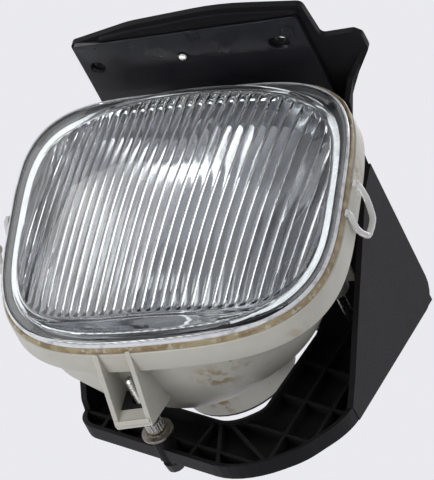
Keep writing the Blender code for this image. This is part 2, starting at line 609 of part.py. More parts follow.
def make_bracket():
    tray = between("mounting_bracket", rounded(TRAY_OUTLINE, 7), tray_front, plate_back, BRACKET_PLASTIC)
    inside = rounded(tray_inside(), 7)
    combine(tray, [between("tray_space", inside, lambda z: tray_front(z) - 10, plate_front)], "DIFFERENCE")

    clip_line = rounded([(u, min(v, PLATE_TOP_Z - 1.5), r) for u, v, r in tray_inside()], 7)
    ribs = [rib(f"rib_v_{i}", clip_line, (x, 0.0), (0.0, 1.0)) for i, x in enumerate((-66.0, -53.0, 58.0, 79.0))]
    slope = -0.64
    ribs += [rib(f"rib_h_{i}", clip_line, (0.0, z), (1.0, slope)) for i, z in enumerate((-100.0, -66.0, -30.0, 6.0))]
    ribs += [rib(f"rib_r_{i}", clip_line, (8.0, -70.0), (sin(radians(a)), -cos(radians(a))))
             for i, a in enumerate((-6, 17, 38))]

    skin = 0.3                  # the side walls lap over the tray, so that no faces coincide
    right_wall = upright("right_wall",
                         rounded([(tray_front(-82.0) - skin, -82.0, 0), (79.0, -66.0, 10), (66.0, -33.0, 16),
                                  (48.0, 14.5, 14), (38.0, 40.0, 8), (36.0, 59.3, 0),
                                  (plate_back(54.5) + skin, 54.5, 12), (plate_back(-82.0) + skin, -82.0, 0)], 5),
                         BRACKET_RIGHT - BRACKET_WALL - skin, BRACKET_RIGHT + skin)
    left_wall = upright("left_wall",
                        rounded([(tray_front(-46.0) - skin, -46.0, 0), (90.0, -44.0, 4), (82.0, -34.0, 8),
                                 (78.5, -12.0, 16), (78.5, 18.0, 20), (91.0, 52.0, 12), (plate_back(52.0) + skin, 52.0, 0),
                                 (plate_back(-46.0) + skin, -46.0, 0)], 5),
                        BRACKET_LEFT - skin, BRACKET_LEFT + BRACKET_WALL + skin)
    gusset = ribbon("neck_gusset",
                    [(90.5, 42, 56), (84, 36, 70), (77, 32, 88), (72, 27, 103), (76, 18, 112), (84, 9, 115), (90, 3, 118.5)],
                    [(90.5, 66, 50), (85, 60, 60), (77, 55, 76), (70, 51, 92), (66, 47, 104), (64, 42, 112), (62, 36, 118.5)],
                    BRACKET_WALL)
    web = ribbon("rear_web", [(-70, 46, 118.4), (-78, 92, 90), (-83.5, 138, 47)],
                 [(57, 46, 118.4), (68, 92, 90), (90.5, 138, 47)], 3.4)
    flange = level("flange", rounded([(-78, 50, 4), (-79, -31, 3), (-40, -39.5, 60), (17, -43.5, 160), (66, -37, 4),
                                      (68, -11, 3), (88, -11.5, 3), (92, -8, 3), (92, 3, 6), (80, 19, 20), (60, 50, 4)], 4),
                   FLANGE_TOP - FLANGE_THICK, FLANGE_TOP)
    pillar = rod("aim_pillar", 6.5, (AIM_X, 70.05, AIM_Z), plate_front(AIM_Z) - 70.05 + 1.5)
    lip = level("flange_lip", rounded([(-60, -34.6, 2), (-40, -37.6, 40), (17, -41.5, 160), (63, -35.5, 2), (63, -33.5, 0),
                                       (-60, -33.2, 0)], 4), FLANGE_TOP - FLANGE_THICK - 3.0, FLANGE_TOP - 1)
    collar = between("collar", hole_outline(COLLAR), lambda z: plate_front(z) - COLLAR_HEIGHT, lambda z: plate_front(z) + 1.0)
    combine(tray, ribs + [right_wall, left_wall, gusset, web, flange, pillar, lip, collar])

    holes = [between("lamp_hole", hole_outline(0.0), lambda z: 30.0, lambda z: 210.0),
             rod("aim_bore", AIM_ROD_RADIUS + 0.6, (AIM_X, 60.0, AIM_Z), 50.0),
             rod("bolt_left", FLANGE_HOLE_RADIUS, (ROUND_HOLE_X, BOLT_Y, FLANGE_TOP - 10), 20, Z_AXIS),
             rod("bolt_right", FLANGE_HOLE_RADIUS, (SLOT_X, BOLT_Y, FLANGE_TOP - 10), 20, Z_AXIS),
             rod("screw_hole", 2.85, (SCREW_X, BOLT_Y, FLANGE_TOP - 10), 20, Z_AXIS),
             rod("screw_recess", 5.4, (SCREW_X, BOLT_Y, FLANGE_TOP - 2.4), 5, Z_AXIS)]
    for side_name, sign in (("left", -1), ("right", 1)):
        holes.append(rod(f"stud_hole_{side_name}", 3.4, (LENS_CENTRE_X + sign * PIVOT_OFFSET_X, 100.0, PIVOT_Z), 40.0))
    combine(tray, holes, "DIFFERENCE")
    return tray


def slot_shape(name):
    """The slotted bolt hole, along X."""
    half = SLOT_LENGTH / 2
    r = BOLT_RADIUS
    corners = [(SLOT_X - half, BOLT_Y - r, r - 0.01), (SLOT_X + half, BOLT_Y - r, r - 0.01),
               (SLOT_X + half, BOLT_Y + r, r - 0.01), (SLOT_X - half, BOLT_Y + r, r - 0.01)]
    return level(name, rounded(corners, 6), FLANGE_TOP - 12, FLANGE_TOP + 8)


def make_steel_plate():
    top = FLANGE_TOP - FLANGE_THICK - GAP
    (x0, x1), (y0, y1) = STEEL_X, STEEL_Y
    plate = level("mounting_plate", rounded([(x0, y0, 2), (x1, y0, 2), (x1, y1, 2), (x0, y1, 2)], 3),
                  top - STEEL_THICK, top, BLACK_STEEL)
    combine(plate, [rod("plate_round", BOLT_RADIUS, (ROUND_HOLE_X, BOLT_Y, top - 10), 20, Z_AXIS),
                    rod("plate_small", 3.25, (SCREW_X, BOLT_Y, top - 10), 20, Z_AXIS),
                    slot_shape("plate_slot")], "DIFFERENCE")
    head = FLANGE_TOP - 2.4 + GAP
    turned("plate_screw", [(0, head + 1.7), (4.0, head + 1.7), (5.0, head + 1.0), (5.0, head), (2.5, head),
                           (2.5, top - STEEL_THICK - 1.0), (2.0, top - STEEL_THICK - 1.6), (0, top - STEEL_THICK - 1.6)],
           (SCREW_X, BOLT_Y, 0), axis=Z_AXIS, mat=ZINC, steps=20)


make_lens()
make_rim_seals()
make_housing()
make_reflector()
make_bulb()
make_cover()
make_inlet()
make_pivots()
make_aim_screw()
make_clips()
make_bracket()
make_steel_plate()
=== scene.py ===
"""Looks of the fog light: fluted glass, bright reflector, cream housing, black bracket.

Lengths are in millimetres. Heights are counted from the lamp's centre, which lies
FLANGE_TOP below the frame's origin, until a piece is made in metres.
"""
from math import cos, pi, radians, sin

import bmesh
import bpy
from mathutils import Matrix, Vector, noise


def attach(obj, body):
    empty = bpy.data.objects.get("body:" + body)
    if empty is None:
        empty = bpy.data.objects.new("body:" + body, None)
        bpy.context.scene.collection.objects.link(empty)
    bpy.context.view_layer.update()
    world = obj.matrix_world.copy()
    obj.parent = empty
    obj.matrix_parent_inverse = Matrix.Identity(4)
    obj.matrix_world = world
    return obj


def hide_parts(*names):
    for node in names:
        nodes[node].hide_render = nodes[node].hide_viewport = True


MM = 0.001
FLANGE_TOP = 121.0

# Lens outline and glass
LENS_X, LENS_Z = -3.3, 0.6
HALF_WIDTH, HALF_HEIGHT, ROUNDNESS = 100.0, 97.5, 3.6
SHEAR, BOW, YAW = -0.098, 10.2, 0.04
WRAP_X, WRAP_Z = 4.0, 2.0
DOME_RADIUS_X, DOME_RADIUS_Z, DOME_BULGE = 190.0, 530.0, 19.0
GLASS = 3.0
SIDE_SHARE = 0.68               # insets are narrower at the left and right sides
DOME_INSET = 12.5               # the fluted field starts this far inside the outline
FLUTES = 31
FLUTE_STEPS = 10
FLUTE_ROWS = 46
FLUTE_HEIGHT = 1.35
FLUTE_LEAN, FLUTE_FAN = 0.027, 0.039

# Housing
BAND_DEPTH = 17.0
WALL = 2.5
BOWL_Z = -14.0
RING_STEPS = 160
BOWL_STEPS = 14
MIRROR_WALL = 1.4
VENT = (30.7, 78.0, 52.0)
PIVOTS = ((-74.3, 71.0, 3.0), (67.7, 71.0, 3.0))
AIM = (-17.0, 0.0, -97.5)
ARM_WALLS = (("arm_wall_left", -28.0), ("arm_wall_right", -8.4))
CLIP_OFFSET = 106.8             # the clips' hinges lie this far from the lens centre

# Brown stains on the housing: place, radius, strength
STAINS = (((26, 42, -80), 17, 1.0), ((40, 30, -88), 11, 0.7), ((78, 22, -76), 12, 0.7),
          ((60, 40, -66), 9, 0.6), ((96, 14, 28), 20, 0.5), ((-2, 103, -50), 11, 1.0))

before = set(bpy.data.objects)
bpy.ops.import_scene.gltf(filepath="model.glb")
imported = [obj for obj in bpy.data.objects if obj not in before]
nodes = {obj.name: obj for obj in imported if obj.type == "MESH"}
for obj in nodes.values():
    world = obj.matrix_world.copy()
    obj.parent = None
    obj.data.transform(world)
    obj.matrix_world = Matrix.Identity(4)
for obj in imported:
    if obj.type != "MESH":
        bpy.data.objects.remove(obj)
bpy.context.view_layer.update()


# ---------------------------------------------------------------- materials
class Look:
    """A node material under construction: a Principled shader and what feeds it."""

    def __init__(self, name, colour, roughness, metallic=0.0, **sockets):
        self.mat = bpy.data.materials.new(name)
        self.mat.use_nodes = True
        self.tree = self.mat.node_tree
        self.shader = self.tree.nodes["Principled BSDF"]
        self.shader.inputs["Base Color"].default_value = (*colour, 1.0)
        self.shader.inputs["Roughness"].default_value = roughness
        self.shader.inputs["Metallic"].default_value = metallic
        for socket, number in sockets.items():
            self.shader.inputs[socket.replace("_", " ")].default_value = number
        self.coords = self.tree.nodes.new("ShaderNodeTexCoord").outputs["Object"]
        self.normal = None
        self.colour = tuple(colour)

    def link(self, source, target):
        """Feed a socket from another socket, or set it to a plain value."""
        if isinstance(source, bpy.types.NodeSocket):
            self.tree.links.new(source, target)
        else:
            target.default_value = source

    def stretched(self, scale):
        node = self.tree.nodes.new("ShaderNodeMapping")
        node.inputs["Scale"].default_value = scale
        self.link(self.coords, node.inputs["Vector"])
        return node.outputs["Vector"]

    def noise(self, scale, detail=2.0, stretch=None, roughness=0.5):
        node = self.tree.nodes.new("ShaderNodeTexNoise")
        node.inputs["Scale"].default_value = scale
        node.inputs["Detail"].default_value = detail
        node.inputs["Roughness"].default_value = roughness
        self.link(self.stretched(stretch) if stretch else self.coords, node.inputs["Vector"])
        return node.outputs["Fac"]

    def span(self, source, low, high, out_low=0.0, out_high=1.0):
        node = self.tree.nodes.new("ShaderNodeMapRange")
        self.link(source, node.inputs["Value"])
        names = ("From Min", "From Max", "To Min", "To Max")
        for socket, number in zip(names, (low, high, out_low, out_high)):
            node.inputs[socket].default_value = number
        return node.outputs["Result"]

    def math(self, operation, a, b=0.0):
        node = self.tree.nodes.new("ShaderNodeMath")
        node.operation = operation
        self.link(a, node.inputs[0])
        self.link(b, node.inputs[1])
        return node.outputs["Value"]

    def near(self, point, radius):
        """1 at a point in millimetres, falling to 0 at a radius."""
        offset = self.tree.nodes.new("ShaderNodeVectorMath")
        offset.operation = "SUBTRACT"
        self.link(self.coords, offset.inputs[0])
        offset.inputs[1].default_value = place(*point)
        length = self.tree.nodes.new("ShaderNodeVectorMath")
        length.operation = "LENGTH"
        self.link(offset.outputs["Vector"], length.inputs[0])
        return self.span(length.outputs["Value"], 0.0, radius * MM, 1.0, 0.0)

    def tint(self, factor, colour):
        """Mix a colour over what is there, by a factor."""
        node = self.tree.nodes.new("ShaderNodeMix")
        node.data_type = "RGBA"
        self.link(factor, node.inputs["Factor"])
        before = self.colour
        if isinstance(before, tuple):
            node.inputs["A"].default_value = (*before, 1.0)
        else:
            self.link(before, node.inputs["A"])
        node.inputs["B"].default_value = (*colour, 1.0)
        self.colour = node.outputs["Result"]
        self.link(self.colour, self.shader.inputs["Base Color"])
        return self

    def rough(self, source, low, high):
        """Vary the roughness between two values."""
        self.link(self.span(source, 0.3, 0.7, low, high), self.shader.inputs["Roughness"])
        return self

    def round_edges(self, radius):
        """Shade the edges as rounded by a radius in millimetres."""
        node = self.tree.nodes.new("ShaderNodeBevel")
        node.samples = 4
        node.inputs["Radius"].default_value = radius * MM
        self.normal = node.outputs["Normal"]
        self.link(self.normal, self.shader.inputs["Normal"])
        return self

    def bump(self, source, depth, strength=1.0):
        """Relief with a depth in millimetres."""
        node = self.tree.nodes.new("ShaderNodeBump")
        node.inputs["Strength"].default_value = strength
        node.inputs["Distance"].default_value = depth * MM
        self.link(source, node.inputs["Height"])
        if self.normal is not None:
            self.link(self.normal, node.inputs["Normal"])
        self.normal = node.outputs["Normal"]
        self.link(self.normal, self.shader.inputs["Normal"])
        return self


def place(x, y, z):
    """A point given in lamp millimetres, in the frame's metres."""
    return Vector((x, y, z - FLANGE_TOP)) * MM


def bracket_look():
    look = Look("grained_black_plastic", (0.006, 0.006, 0.007), 0.6, Specular_IOR_Level=0.18)
    look.round_edges(0.7)
    grain = look.noise(1500.0, 3.0, roughness=0.65)
    look.bump(grain, 0.12, 0.5).bump(look.noise(90.0, 2.0), 0.5, 0.2)
    look.tint(look.span(look.noise(45.0, 4.0), 0.4, 0.75, 0.0, 0.5), (0.011, 0.011, 0.012))
    look.tint(look.span(look.noise(420.0, 3.0), 0.66, 0.74, 0.0, 0.3), (0.035, 0.035, 0.035))
    return look.rough(grain, 0.52, 0.68).mat


def steel_look():
    look = Look("black_painted_steel", (0.010, 0.010, 0.014), 0.3, Specular_IOR_Level=0.5,
                Coat_Weight=0.25, Coat_Roughness=0.12)
    look.round_edges(0.5)
    look.bump(look.noise(160.0, 3.0), 0.25, 0.12)
    scratches = look.span(look.noise(260.0, 2.0, (0.12, 2.4, 1.0)), 0.70, 0.74, 0.0, 0.35)
    look.tint(scratches, (0.14, 0.14, 0.15))
    look.tint(look.span(look.noise(1200.0, 1.0), 0.76, 0.8, 0.0, 0.6), (0.3, 0.3, 0.3))
    return look.rough(look.noise(60.0, 4.0), 0.24, 0.42).mat


def housing_look(name="cream_housing", pale=False):
    # pale makes a lighter copy of the cream, used as painted highlight on bevelled edges
    colour = (0.62, 0.60, 0.53) if pale else (0.50, 0.485, 0.425)
    look = Look(name, colour, 0.42)
    mottle = look.noise(38.0, 5.0, roughness=0.6)
    look.tint(look.span(mottle, 0.35, 0.75, 0.0, 0.55), (0.40, 0.385, 0.33))
    look.tint(look.span(look.noise(900.0, 2.0), 0.62, 0.78, 0.0, 0.35), (0.30, 0.28, 0.23))
    scuffs = look.span(look.noise(130.0, 3.0, (0.35, 1.0, 2.6)), 0.67, 0.72, 0.0, 0.5)
    look.tint(scuffs, (0.22, 0.21, 0.19))
    for point, radius, depth in STAINS:
        patch = look.span(look.noise(170.0, 4.0), 0.46, 0.58)
        blot = look.math("MULTIPLY", look.near(point, radius), patch)
        look.tint(look.math("MULTIPLY", blot, depth * 1.6), (0.27, 0.19, 0.085))
    look.bump(look.noise(700.0, 2.0), 0.1, 0.25).bump(mottle, 0.6, 0.15)
    return look.rough(mottle, 0.34, 0.55).mat


def glass_look():
    look = Look("lens_glass", (0.965, 0.985, 0.985), 0.015, Transmission_Weight=1.0, IOR=1.5)
    look.bump(look.noise(70.0, 3.0), 0.35, 0.25)
    return look.mat


def mirror_look():
    look = Look("reflector_coat", (0.58, 0.59, 0.61), 0.07, 1.0)
    look.bump(look.noise(40.0, 3.0), 0.8, 0.15)
    look.tint(look.span(look.noise(34.0, 5.0, (1.0, 0.6, 0.6)), 0.55, 0.75, 0.0, 0.5), (0.5, 0.5, 0.5))
    return look.rough(look.noise(80.0, 4.0), 0.05, 0.16).mat


def rubber_look():
    look = Look("grey_gasket", (0.028, 0.028, 0.036), 0.45)
    look.bump(look.noise(500.0, 2.0), 0.08, 0.3)
    look.tint(look.span(look.noise(60.0, 4.0), 0.45, 0.7, 0.0, 0.4), (0.05, 0.05, 0.06))
    return look.rough(look.noise(120.0, 3.0), 0.3, 0.5).mat


def sealant_look():
    look = Look("aged_sealant", (0.33, 0.27, 0.15), 0.5)
    look.tint(look.span(look.noise(110.0, 5.0), 0.42, 0.62), (0.20, 0.14, 0.065))
    look.tint(look.span(look.noise(260.0, 3.0), 0.56, 0.68, 0.0, 0.8), (0.50, 0.46, 0.36))
    look.bump(look.noise(500.0, 3.0), 0.3, 0.5)
    return look.mat


def zinc_look(name="zinc_plate", colour=(0.62, 0.61, 0.58), low=0.2, high=0.42):
    look = Look(name, colour, 0.3, 1.0)
    look.round_edges(0.25)
    look.tint(look.span(look.noise(260.0, 4.0), 0.5, 0.7, 0.0, 0.6), tuple(c * 0.62 for c in colour))
    look.bump(look.noise(900.0, 2.0), 0.05, 0.3)
    return look.rough(look.noise(300.0, 3.0), low, high).mat


def nylon_look(name, colour, low=0.35, high=0.5):
    look = Look(name, colour, 0.45)
    look.round_edges(0.4)
    wear_and_edge_highlight = tuple(min(c * 1.7 + 0.01, 0.9) for c in colour)
    look.tint(look.span(look.noise(90.0, 4.0), 0.45, 0.75, 0.0, 0.5), wear_and_edge_highlight)
    look.bump(look.noise(1100.0, 2.0), 0.06, 0.35)
    return look.rough(look.noise(150.0, 3.0), low, high).mat


def clip_look():
    look = Look("clear_white_nylon", (0.86, 0.86, 0.84), 0.16, Transmission_Weight=0.35, IOR=1.45,
                Subsurface_Weight=0.2, Coat_Weight=0.4)
    look.shader.inputs["Subsurface Radius"].default_value = (0.003, 0.003, 0.003)
    look.tint(look.span(look.noise(160.0, 3.0), 0.5, 0.72, 0.0, 0.5), (0.66, 0.64, 0.58))
    look.bump(look.noise(420.0, 2.0), 0.08, 0.3)
    return look.rough(look.noise(240.0, 2.0), 0.12, 0.26).mat


def edge_look():
    # whitish ring at the glass rim: painted highlight of light caught on the edge; the darker patches vary
    # at random
    look = Look("glass_edge_highlight", (0.88, 0.90, 0.93), 0.22, Transmission_Weight=0.25, IOR=1.5,
                Coat_Weight=0.6)
    look.tint(look.span(look.noise(120.0, 5.0, (1.0, 1.0, 1.0)), 0.52, 0.66, 0.0, 0.7), (0.42, 0.42, 0.46))
    look.bump(look.noise(300.0, 3.0), 0.15, 0.4)
    return look.mat


BRACKET = bracket_look()
STEEL = steel_look()
HOUSING = housing_look()
# paler copy of the cream for the arm's bevelled edges: painted highlight along the edges
HOUSING_EDGE = housing_look("cream_edge_highlight", pale=True)
GLASS_MAT = glass_look()
MIRROR = mirror_look()
RUBBER = rubber_look()
SEALANT = sealant_look()
ZINC = zinc_look()
BRIGHT_ZINC = zinc_look("polished_zinc", (0.82, 0.81, 0.78), 0.06, 0.16)
BRONZE_ZINC = zinc_look("dull_zinc", (0.36, 0.33, 0.29), 0.28, 0.5)
BLACK_NYLON = nylon_look("black_nylon", (0.016, 0.016, 0.017))
GREY_NYLON = nylon_look("grey_nylon", (0.42, 0.41, 0.37))
BRASS = zinc_look("tinned_brass", (0.72, 0.58, 0.32), 0.2, 0.4)
CLIP = clip_look()
EDGE = edge_look()

NODE_LOOKS = {
    "mounting_bracket": BRACKET, "mounting_plate": STEEL, "plate_screw": BRIGHT_ZINC,
    "aim_screw": ZINC, "aim_washer": BRONZE_ZINC, "aim_nut": BLACK_NYLON, "aim_knob": BLACK_NYLON,
    "pivot_stud_left": ZINC, "pivot_stud_right": ZINC, "pivot_nut_left": ZINC, "pivot_nut_right": ZINC,
    "pivot_socket_left": GREY_NYLON, "pivot_socket_right": GREY_NYLON,
    "bulb_glass": GLASS_MAT, "bulb_base": ZINC, "bulb_terminal": BRASS, "bulb_shield": MIRROR,
    "bulb_clip": ZINC, "rear_cover": BLACK_NYLON, "cover_seal": RUBBER, "vent_cap": BLACK_NYLON,
    "power_inlet": BLACK_NYLON, "terminal_feed": BRASS, "terminal_earth": BRASS,
    "lens": GLASS_MAT, "lens_gasket": RUBBER, "lens_sealant": SEALANT, "lamp_housing": HOUSING,
    "reflector": MIRROR, "lens_clip_left": CLIP, "lens_clip_right": CLIP,
}
for node_name, look in NODE_LOOKS.items():
    for slot in nodes[node_name].material_slots:
        slot.material = look


# ---------------------------------------------------------------- shape helpers
def add_piece(name, mesh, mats, body, stands_for=()):
    obj = bpy.data.objects.new(name, mesh)
    bpy.context.scene.collection.objects.link(obj)
    for mat in mats if isinstance(mats, (list, tuple)) else [mats]:
        mesh.materials.append(mat)
    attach(obj, body)
    if stands_for:
        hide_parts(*stands_for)
    return obj


def to_mesh(bm, name, sharp=35):
    """A bmesh in lamp millimetres becomes a mesh in the frame's metres, faces outward."""
    bmesh.ops.recalc_face_normals(bm, faces=bm.faces)
    for vert in bm.verts:
        vert.co = place(*vert.co)
    mesh = bpy.data.meshes.new(name)
    bm.to_mesh(mesh)
    bm.free()
    mesh.shade_smooth()
    mesh.set_sharp_from_angle(angle=radians(sharp))
    return mesh


def skin(rings, loop=False, caps=True):
    """A bmesh skin through rings of equal point counts."""
    bm = bmesh.new()
    rows = [[bm.verts.new(p) for p in ring] for ring in rings]
    count = len(rows[0])
    for lower, upper in list(zip(rows, rows[1:])) + ([(rows[-1], rows[0])] if loop else []):
        for i in range(count):
            j = (i + 1) % count
            bm.faces.new((lower[i], lower[j], upper[j], upper[i]))
    if caps and not loop:
        bm.faces.new(rows[0])
        bm.faces.new(rows[-1])
    return bm


def ring_piece(name, rings, mat, stands_for=(), sharp=35):
    """A piece of the lamp whose skin runs through rings and closes on itself."""
    return add_piece(name, to_mesh(skin(rings, loop=True), name, sharp), mat, "lamp", stands_for)


def turned(name, profile, centre, mats, body, axis="Y", steps=48, stands_for=(), wobble=None):
    """A turned piece; profile is (radius, height) along the axis, closed onto the axis by caps."""
    rings = []
    for radius, height in profile:
        ring = []
        for i in range(steps):
            angle = 2 * pi * i / steps
            r = radius if wobble is None else wobble(radius, height, angle)
            a, b = r * cos(angle), r * sin(angle)
            x, y, z = centre
            ring.append((x + a, y + height, z + b) if axis == "Y" else (x + a, y + b, z + height))
        rings.append(ring)
    return add_piece(name, to_mesh(skin(rings), name), mats, body, stands_for)


def plate_piece(name, outline, low, high, plane, mats, body, bevel=0.6, segments=2, stands_for=()):
    """A flat outline (u, v) between two levels; plane YZ runs along X, XZ along Y, XY along Z."""
    def point(u, v, w):
        return {"YZ": (w, u, v), "XZ": (u, w, v), "XY": (u, v, w)}[plane]
    bm = skin([[point(u, v, w) for u, v in outline] for w in (low, high)])
    obj = add_piece(name, to_mesh(bm, name, 30), mats, body, stands_for)
    if bevel:
        change = obj.modifiers.new("edges", "BEVEL")
        change.width = bevel * MM
        change.segments = segments
        change.limit_method = "ANGLE"
        change.angle_limit = radians(28)
        # the bevels take the second material; where that is the paler cream, it is painted highlight along
        # the edges
        if isinstance(mats, (list, tuple)) and len(mats) > 1:
            change.material = 1
        change.harden_normals = True
    return obj


def smooth_path(points, steps=6, closed=False):
    """A curve through points (Catmull-Rom)."""
    result = []
    count = len(points)
    last = count if closed else count - 1
    for i in range(last):
        p0 = Vector(points[(i - 1) % count if closed else max(i - 1, 0)])
        p1, p2 = Vector(points[i]), Vector(points[(i + 1) % count])
        p3 = Vector(points[(i + 2) % count if closed else min(i + 2, count - 1)])
        for k in range(steps):
            t = k / steps
            result.append(0.5 * (2 * p1 + (p2 - p0) * t + (2 * p0 - 5 * p1 + 4 * p2 - p3) * t * t
                                 + (3 * p1 - p0 - 3 * p2 + p3) * t ** 3))
    if not closed:
        result.append(Vector(points[-1]))
    return result


def wire(name, points, radius, mat, body, stands_for=(), sides=4):
    curve = bpy.data.curves.new(name, "CURVE")
    curve.dimensions = "3D"
    curve.bevel_depth = radius * MM
    curve.bevel_resolution = sides
    curve.use_fill_caps = True
    spline = curve.splines.new("POLY")
    spline.points.add(len(points) - 1)
    for point, spot in zip(spline.points, points):
        point.co = (*place(*spot), 1)
    spline.use_smooth = True
    obj = bpy.data.objects.new(name, curve)
    bpy.context.scene.collection.objects.link(obj)
    curve.materials.append(mat)
    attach(obj, body)
    if stands_for:
        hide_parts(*stands_for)
    return obj


# ---------------------------------------------------------------- lamp outlines
def rim_y(x, z):
    return YAW * x + WRAP_X * (x / 100) ** 2 + WRAP_Z * (z / 100) ** 2


def outline_point(angle, half_width, half_height, power, lean=1.0):
    c, s = cos(angle), sin(angle)
    u = half_width * abs(c) ** (2 / power) * (1 if c >= 0 else -1)
    v = half_height * abs(s) ** (2 / power) * (1 if s >= 0 else -1)
    return u + SHEAR * lean * v, v + BOW * lean * (u / 100) ** 2


def even_angles(power=ROUNDNESS, count=RING_STEPS):
    """Angles that space the points of a rounded square evenly."""
    fine = [2 * pi * i / 2880 for i in range(2881)]
    points = [outline_point(a, HALF_WIDTH, HALF_HEIGHT, power) for a in fine]
    walked = [0.0]
    for (x1, z1), (x2, z2) in zip(points, points[1:]):
        walked.append(walked[-1] + ((x2 - x1) ** 2 + (z2 - z1) ** 2) ** 0.5)
    angles, i = [], 0
    for k in range(count):
        goal = walked[-1] * k / count
        while walked[i + 1] < goal:
            i += 1
        share = (goal - walked[i]) / max(walked[i + 1] - walked[i], 1e-9)
        angles.append(fine[i] + (fine[i + 1] - fine[i]) * share)
    return angles


ANGLES = even_angles()


def inset_width(inset):
    return HALF_WIDTH - inset * (SIDE_SHARE if inset > 0 else 1.0)


def rim_ring(inset, depth, angles=ANGLES):
    points = []
    for angle in angles:
        x, z = outline_point(angle, inset_width(inset), HALF_HEIGHT - inset, ROUNDNESS)
        points.append((x + LENS_X, rim_y(x, z) + depth, z + LENS_Z))
    return points


def rim_rings(profile):
    """Rings of the rim for a profile of (inset, depth)."""
    return [rim_ring(inset, depth) for inset, depth in profile]


def bowl_ring(half_width, half_height, power, y, lean=0.0, axis_z=BOWL_Z):
    points = []
    for angle in ANGLES:
        x, z = outline_point(angle, half_width, half_height, power, lean)
        points.append((x + LENS_X, y, z + axis_z))
    return points


def soft_min(a, b, reach=2.0):
    h = max(reach - abs(a - b), 0.0) / reach
    return min(a, b) - h * h * reach / 4


def dome_y(x, z):
    """Front surface of the glass, running out into the flange at the sides."""
    dome = -DOME_BULGE + x * x / (2 * DOME_RADIUS_X) + z * z / (2 * DOME_RADIUS_Z) + YAW * x
    return soft_min(dome, rim_y(x, z) - 2.6)


# ---------------------------------------------------------------- lens
def solve(function, low, high):
    """The place where a function that falls from low to high crosses zero."""
    for _ in range(40):
        middle = (low + high) / 2
        if function(middle) > 0:
            low = middle
        else:
            high = middle
    return (low + high) / 2


def make_lens():
    """Domed glass: smooth outside, convex upright flutes inside, a clear skirt and a flange."""
    width, height = inset_width(DOME_INSET), HALF_HEIGHT - DOME_INSET
    reach = width * 0.985
    count = FLUTES * FLUTE_STEPS
    columns = [-reach + 2 * reach * i / count for i in range(count + 1)]

    def lean(u):
        return FLUTE_LEAN + FLUTE_FAN * u / 100

    def end_angle(u, side):
        """Where the leaning line of a column meets the field's outline, above or below."""
        def miss(angle):
            x, z = outline_point(side * angle, width, height, ROUNDNESS)
            return x - u - lean(u) * z
        return side * solve(miss, 0.0, pi)

    grid, tops, bottoms = [], [], []
    for u in columns:
        top = end_angle(u, 1)
        bottom = end_angle(u, -1)
        tops.append(top)
        bottoms.append(bottom)
        z_top = outline_point(top, width, height, ROUNDNESS)[1]
        z_low = outline_point(bottom, width, height, ROUNDNESS)[1]
        heights = [z_low + (z_top - z_low) * row_share(k) for k in range(FLUTE_ROWS + 1)]
        grid.append([(u + lean(u) * z, z) for z in heights])

    def flute(i, k):
        """How far a flute stands in at a column and row: a round rod with a round tip."""
        across = 2 * ((i % FLUTE_STEPS) / FLUTE_STEPS) - 1 if i < count else -1
        z = grid[i][k][1]
        gap = min(z - grid[i][0][1], grid[i][-1][1] - z)
        past = max(0.0, 1 - (gap - 1.2) / 3.4)
        return FLUTE_HEIGHT * max(0.0, 1 - across * across - past * past)

    bm = bmesh.new()

    def spot(x, z, y):
        return bm.verts.new((x + LENS_X, y, z + LENS_Z))
    front = [[spot(x, z, dome_y(x, z)) for x, z in column] for column in grid]
    back = [[spot(x, z, min(dome_y(x, z) + GLASS, rim_y(x, z) - 0.2) + flute(i, k))
             for k, (x, z) in enumerate(column)] for i, column in enumerate(grid)]
    for rows in (front, back):
        for left, right in zip(rows, rows[1:]):
            for k in range(FLUTE_ROWS):
                bm.faces.new((left[k], right[k], right[k + 1], left[k + 1]))

    def loop(rows):
        return ([column[0] for column in rows[:-1]] + rows[-1][:-1]
                + [column[-1] for column in reversed(rows[1:])] + list(reversed(rows[0][1:])))

    def side_angle(z, right):
        def miss(angle):
            return z - outline_point(angle if right else pi - angle, width, height, ROUNDNESS)[1]
        return solve(miss, -pi / 2, pi / 2) if right else pi - solve(miss, -pi / 2, pi / 2)

    angles = bottoms[:-1] + [side_angle(grid[-1][k][1], True) for k in range(FLUTE_ROWS)]
    angles[count] = bottoms[-1]
    angles += list(reversed(tops[1:]))
    angles += [side_angle(grid[0][k][1], False) for k in range(FLUTE_ROWS, 0, -1)]
    angles[count + FLUTE_ROWS + count] = tops[0]

    def rim_row(inset, share, offset, base):
        row = []
        for angle in angles:
            x, z = outline_point(angle, inset_width(inset), HALF_HEIGHT - inset, ROUNDNESS)
            start = dome_y(x, z) + base
            row.append(spot(x, z, start + (rim_y(x, z) + offset - start) * share))
        return row
    outer = [loop(front)]
    for inset, share in ((10.6, 0.0), (9.3, 0.02), (8.6, 0.08), (8.1, 0.2), (7.85, 0.42), (7.6, 0.75),
                         (7.2, 0.93), (6.4, 1.0)):
        outer.append(rim_row(inset, share, -2.6, 0.0))
    for inset, offset in ((3.0, -2.6), (0.9, -2.6), (0.3, -2.3), (0.0, -1.7), (0.0, -0.2), (0.3, 0.25),
                          (6.0, 0.3)):
        outer.append(rim_row(inset, 1.0, offset, 0.0))
    inner = [loop(back)]
    for inset, share in ((11.9, 0.06), (11.4, 0.2), (11.1, 0.45), (10.9, 0.8), (10.4, 1.0)):
        inner.append(rim_row(inset, share, 0.3, GLASS))
    rows = outer + list(reversed(inner))
    size = len(rows[0])
    for first, second in zip(rows, rows[1:]):
        for i in range(size):
            j = (i + 1) % size
            bm.faces.new((first[i], first[j], second[j], second[i]))
    add_piece("fluted_lens", to_mesh(bm, "fluted_lens", 60), GLASS_MAT, "lamp", ["lens"])


def row_share(k):
    """Rows lie closer together at the ends of the flutes."""
    t = k / FLUTE_ROWS
    return t * t * (3 - 2 * t) * 0.7 + t * 0.3


